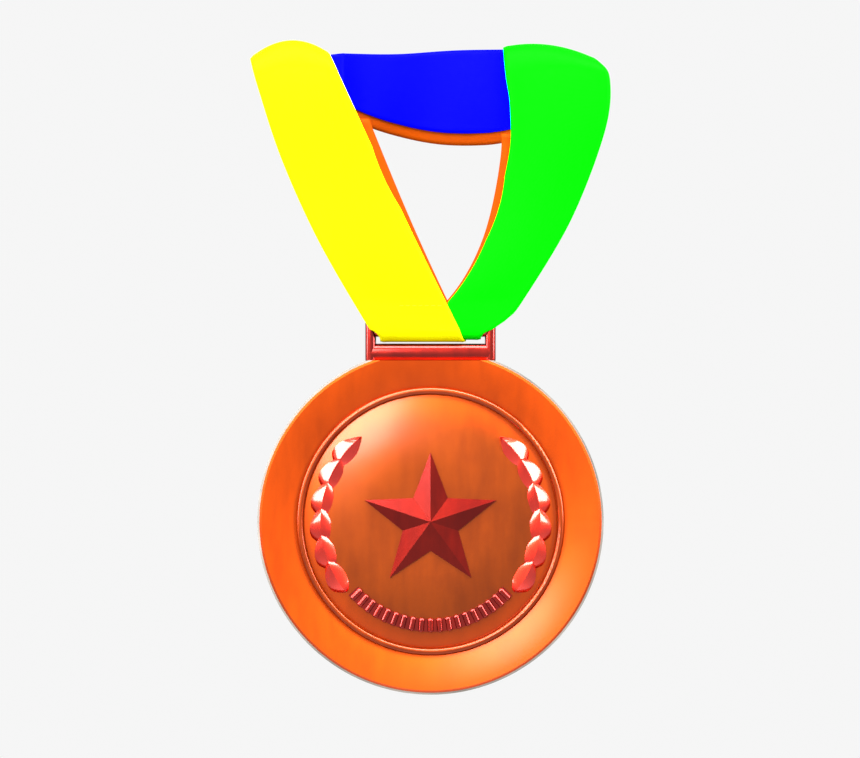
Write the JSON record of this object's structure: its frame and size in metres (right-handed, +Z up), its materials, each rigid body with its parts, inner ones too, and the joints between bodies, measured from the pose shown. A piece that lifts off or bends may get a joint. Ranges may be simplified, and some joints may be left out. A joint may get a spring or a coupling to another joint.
{
  "type": "award medal",
  "caption": "Round relief medal with a laurel wreath and star, hanging by a slotted hanger from a short tricolour neck ribbon.",
  "frame": {"origin": "middle of the neck band's inner face, where the ribbon rests on a neck or hook", "axes": "+X to the right seen from the front, +Y from the medal's face to its back, +Z up"},
  "size_m": [0.073, 0.0231, 0.1325],
  "materials": {
    "ribbon_yellow": "satin ribbon",
    "ribbon_green": "satin ribbon",
    "ribbon_blue": "satin ribbon",
    "ribbon_lining": "plain weave backing ribbon",
    "bronze_bright": "satin orange bronze",
    "bronze_dark": "satin brown bronze",
    "red_bronze": "polished red bronze",
    "silver_edge": "brushed"
  },
  "bodies": {
    "ribbon": {"ribbon_yellow": "ribbon_yellow", "ribbon_green": "ribbon_green", "ribbon_blue": "ribbon_blue", "lining_left": "ribbon_lining", "lining_right": "ribbon_lining", "lining_neck": "ribbon_lining", "seam_left": "ribbon_yellow", "seam_right": "ribbon_green", "tail_stitching": "ribbon_yellow"},
    "medal": {"medal_body": "bronze_bright", "edge_band": "silver_edge", "bezel_ring": "bronze_bright", "centre_disc": "bronze_dark", "back_plate": "bronze_dark", "hanger_frame": "red_bronze", "hanger_dowel_left": "silver_edge", "hanger_dowel_right": "silver_edge", "star_emblem": "red_bronze", "gadroon_band": "red_bronze", "leaf_left_1": "red_bronze", "leaf_left_2": "red_bronze", "leaf_left_3": "red_bronze", "leaf_left_4": "red_bronze", "leaf_left_5": "red_bronze", "leaf_left_6": "red_bronze", "leaf_right_1": "red_bronze", "leaf_right_2": "red_bronze", "leaf_right_3": "red_bronze", "leaf_right_4": "red_bronze", "leaf_right_5": "red_bronze", "leaf_right_6": "red_bronze"}
  },
  "joints": [
    {"name": "medal_swing", "type": "hinge", "parent": "ribbon", "child": "medal", "pos_m": [0, -0.018, -0.04815], "axis": [1, 0, 0], "range_deg": [-80, 80]}
  ]
}
